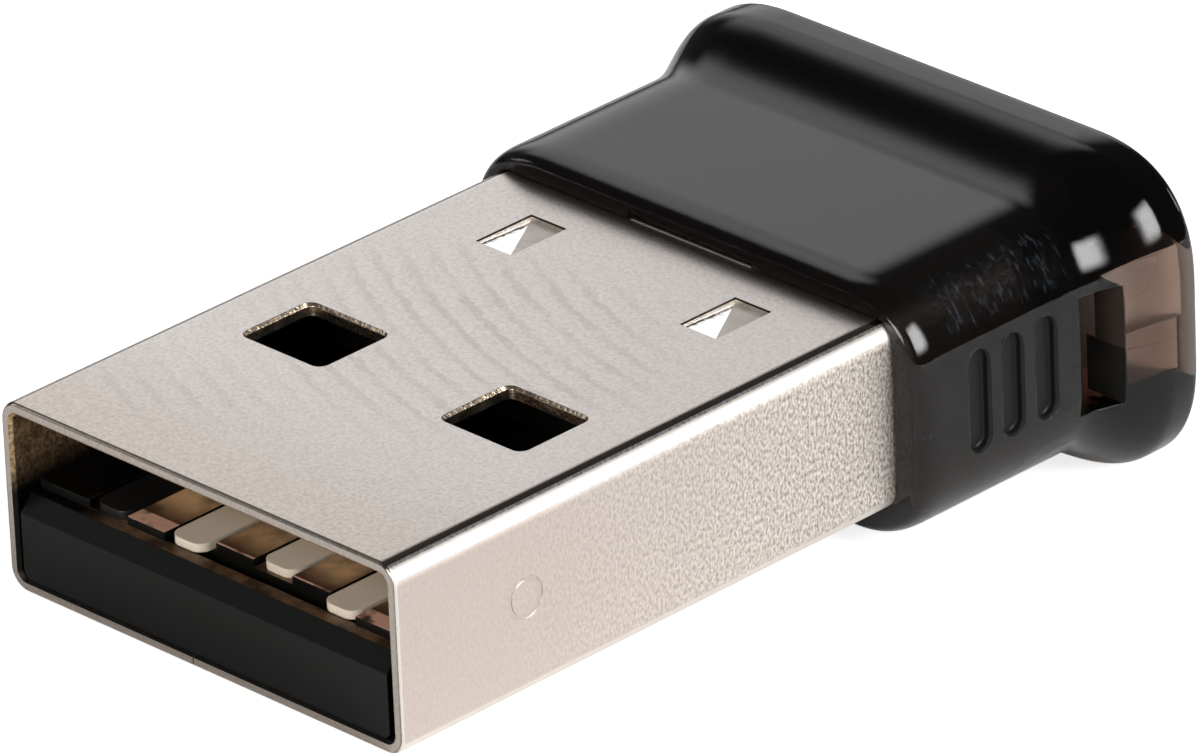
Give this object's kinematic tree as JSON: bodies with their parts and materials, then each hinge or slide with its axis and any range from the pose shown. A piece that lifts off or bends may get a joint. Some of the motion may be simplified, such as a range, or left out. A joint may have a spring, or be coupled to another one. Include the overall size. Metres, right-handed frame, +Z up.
{
  "type": "usb bluetooth adapter",
  "caption": "Short USB radio dongle: plated steel type A plug with a black tongue and strip contacts, and a smoked plastic cap with a flared rear flange, finger grooves and a lanyard slot.",
  "frame": {"origin": "centre of the plug's mouth, in the plane of the shell's front edge", "axes": "+X is the width, +Y runs from the mouth into the body, +Z is up, towards the side of the contacts"},
  "size_m": [0.015, 0.0228, 0.0077],
  "materials": {
    "shell_nickel": "nickel-plated sheet steel, fine satin grain",
    "carrier_plastic": "black moulded insulator, slightly glossy",
    "contact_tin": "tin-plated strip",
    "board_laminate": "glass laminate with solder mask",
    "copper": "bare gold-plated copper",
    "chip_epoxy": "moulded epoxy",
    "crystal_lid": "seam-welded metal lid",
    "capacitor_ceramic": "tan ceramic",
    "filter_ceramic": "white ceramic",
    "inductor_ceramic": "blue ceramic",
    "led_resin": "clear resin",
    "resistor_film": "black film",
    "ferrite": "dark grey ferrite",
    "solder": "solder",
    "smoked_cap": "glossy smoked translucent plastic, close to black where it is thick"
  },
  "bodies": {
    "root": {"plug_shell": "shell_nickel", "contact_carrier": "carrier_plastic", "contact_power": "contact_tin", "contact_data_minus": "contact_tin", "contact_data_plus": "contact_tin", "contact_ground": "contact_tin", "circuit_board": "board_laminate", "board_pads": "copper", "radio_chip": "chip_epoxy", "memory_chip": "chip_epoxy", "voltage_regulator": "chip_epoxy", "crystal": "crystal_lid", "crystal_capacitors": "capacitor_ceramic", "rf_filter": "filter_ceramic", "matching_inductor": "inductor_ceramic", "antenna_trace": "copper", "status_led": "led_resin", "led_resistor": "resistor_film", "data_resistors": "resistor_film", "surge_diode": "chip_epoxy", "ferrite_bead": "ferrite", "input_capacitor": "capacitor_ceramic", "decoupling_capacitors": "capacitor_ceramic", "contact_solder": "solder", "shell_solder": "solder", "housing": "smoked_cap"}
  },
  "joints": []
}
